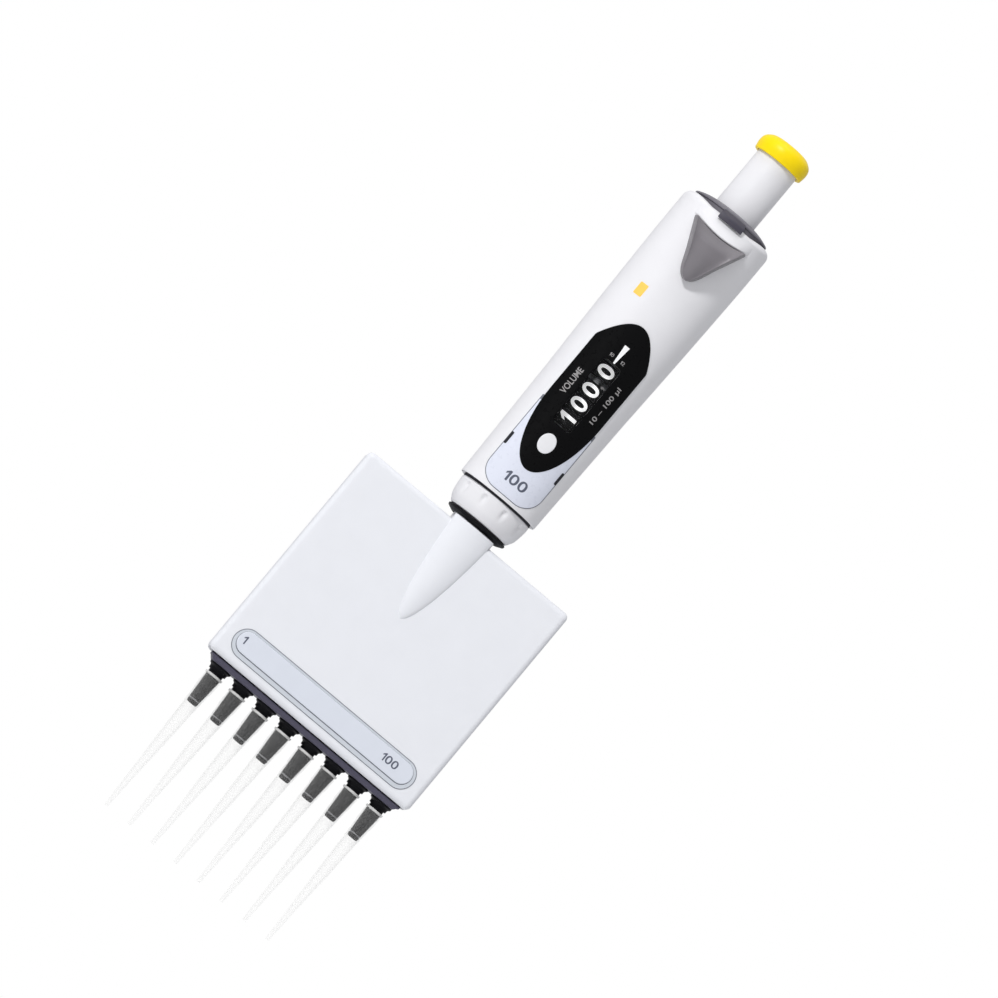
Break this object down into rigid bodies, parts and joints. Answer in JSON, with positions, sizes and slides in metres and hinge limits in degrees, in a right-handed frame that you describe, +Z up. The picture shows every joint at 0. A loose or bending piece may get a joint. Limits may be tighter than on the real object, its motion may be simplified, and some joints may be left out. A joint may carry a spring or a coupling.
{
  "type": "multichannel pipette",
  "caption": "Hand-held adjustable multichannel pipette with a number-drum display, push button, tip ejector, swivelling manifold and disposable tips.",
  "frame": {"origin": "on the pipette's own axis, level with the flat underside of the finger hook", "axes": "+Z up the pipette's axis from the tips to the push button, display and trigger face -Y, channels lie along X"},
  "size_m": [0.078, 0.062, 0.2855],
  "materials": {
    "white_plastic": "satin moulded white plastic",
    "module_white": "fine matt moulded white plastic, slightly blue",
    "yellow_plastic": "satin moulded yellow plastic",
    "dome_grey": "satin mid-grey plastic",
    "trigger_grey": "satin warm grey plastic",
    "black_gloss": "smooth black printed panel",
    "drum_black": "matt black drum with white numerals",
    "lens_clear": "clear plastic window",
    "plate_blue": "pale blue printed plate",
    "silver_paint": "silver painted cover",
    "steel": "drawn stainless steel",
    "cone_grey": "dark grey plastic",
    "strip_grey": "dark blue-grey plastic",
    "tip_clear": "translucent natural polypropylene"
  },
  "bodies": {
    "handle": {"handle_front_shell": "white_plastic", "handle_rear_shell": "white_plastic", "display_bezel": "black_gloss", "display_lens": "lens_clear", "id_plate": "plate_blue", "calibration_cover": "silver_paint", "counter_frame": "dome_grey", "shaft_bushing": "dome_grey", "handle_spigot": "white_plastic", "ejector_spring": "steel"},
    "lock": {"volume_lock_ring": "dome_grey"},
    "setting": {"setting_spindle": "steel", "plunger_spring": "steel"},
    "plunger": {"operating_button": "yellow_plastic", "plunger_shaft": "white_plastic", "control_rod": "steel"},
    "tenths": {"drum_tenths": "drum_black"},
    "units": {"drum_units": "drum_black"},
    "tens": {"drum_tens": "drum_black"},
    "hundreds": {"drum_hundreds": "drum_black"},
    "ejector": {"ejector_trigger": "trigger_grey", "ejector_strap": "trigger_grey"},
    "collar": {"collar_nut": "white_plastic"},
    "module": {"module_neck": "white_plastic", "gasket_ring": "cone_grey", "module_front_cover": "module_white", "module_rear_cover": "module_white", "module_label": "plate_blue", "cone_frame": "strip_grey", "return_spring_left": "steel", "return_spring_right": "steel", "tip_cone_1": "cone_grey", "tip_cone_2": "cone_grey", "tip_cone_3": "cone_grey", "tip_cone_4": "cone_grey", "tip_cone_5": "cone_grey", "tip_cone_6": "cone_grey", "tip_cone_7": "cone_grey", "tip_cone_8": "cone_grey"},
    "pistons": {"piston_carriage": "cone_grey", "push_rod": "steel", "piston_1": "steel", "piston_2": "steel", "piston_3": "steel", "piston_4": "steel", "piston_5": "steel", "piston_6": "steel", "piston_7": "steel", "piston_8": "steel"},
    "ejector_bar": {"ejector_frame": "strip_grey"},
    "tips": {"tip_1": "tip_clear", "tip_2": "tip_clear", "tip_3": "tip_clear", "tip_4": "tip_clear", "tip_5": "tip_clear", "tip_6": "tip_clear", "tip_7": "tip_clear", "tip_8": "tip_clear"}
  },
  "joints": [
    {"name": "volume_turn", "type": "hinge", "parent": "handle", "child": "setting", "pos_m": [0, 0, 0], "axis": [0, 0, 1], "range_deg": [-3240, 0]},
    {"name": "plunger_slide", "type": "slide", "parent": "setting", "child": "plunger", "axis": [0, 0, 1], "range_m": [-0.01815, 0], "stiffness_N_per_m": 300, "springref_m": 0.01, "deforming": ["plunger_spring"]},
    {"name": "lock_turn", "type": "hinge", "parent": "handle", "child": "lock", "pos_m": [0, 0, 0], "axis": [0, 0, 1], "range_deg": [0, 15]},
    {"name": "tenths_turn", "type": "hinge", "parent": "handle", "child": "tenths", "pos_m": [0, 0, 0], "axis": [0, 0, 1], "range_deg": [-32400, 0]},
    {"name": "units_turn", "type": "hinge", "parent": "handle", "child": "units", "pos_m": [0, 0, 0], "axis": [0, 0, 1], "range_deg": [-3240, 0]},
    {"name": "tens_turn", "type": "hinge", "parent": "handle", "child": "tens", "pos_m": [0, 0, 0], "axis": [0, 0, 1], "range_deg": [-324, 0]},
    {"name": "hundreds_turn", "type": "hinge", "parent": "handle", "child": "hundreds", "pos_m": [0, 0, 0], "axis": [0, 0, 1], "range_deg": [-32.4, 0]},
    {"name": "trigger_slide", "type": "slide", "parent": "handle", "child": "ejector", "axis": [0, 0, 1], "range_m": [-0.008, 0], "stiffness_N_per_m": 400, "springref_m": 0.01, "deforming": ["ejector_spring"]},
    {"name": "collar_turn", "type": "hinge", "parent": "handle", "child": "collar", "pos_m": [0, 0, 0], "axis": [0, 0, 1], "range_deg": [-60, 0]},
    {"name": "module_swivel", "type": "hinge", "parent": "handle", "child": "module", "pos_m": [0, 0, 0], "axis": [0, 0, 1], "continuous": true},
    {"name": "piston_slide", "type": "slide", "parent": "module", "child": "pistons", "axis": [0, 0, 1], "range_m": [-0.01815, 0], "stiffness_N_per_m": 150, "springref_m": 0.01, "deforming": ["return_spring_left", "return_spring_right"]},
    {"name": "ejector_bar_slide", "type": "slide", "parent": "module", "child": "ejector_bar", "axis": [0, 0, 1], "range_m": [-0.008, 0]},
    {"name": "tips_pull", "type": "slide", "parent": "ejector_bar", "child": "tips", "axis": [0, 0, 1], "range_m": [-0.014, 0]}
  ],
  "couplings": [
    {"joint": "tenths_turn", "follows": "volume_turn", "ratio": 10},
    {"joint": "units_turn", "follows": "volume_turn", "ratio": 1},
    {"joint": "tens_turn", "follows": "volume_turn", "ratio": 0.1},
    {"joint": "hundreds_turn", "follows": "volume_turn", "ratio": 0.01},
    {"joint": "piston_slide", "follows": "plunger_slide", "ratio": 1},
    {"joint": "ejector_bar_slide", "follows": "trigger_slide", "ratio": 1}
  ]
}
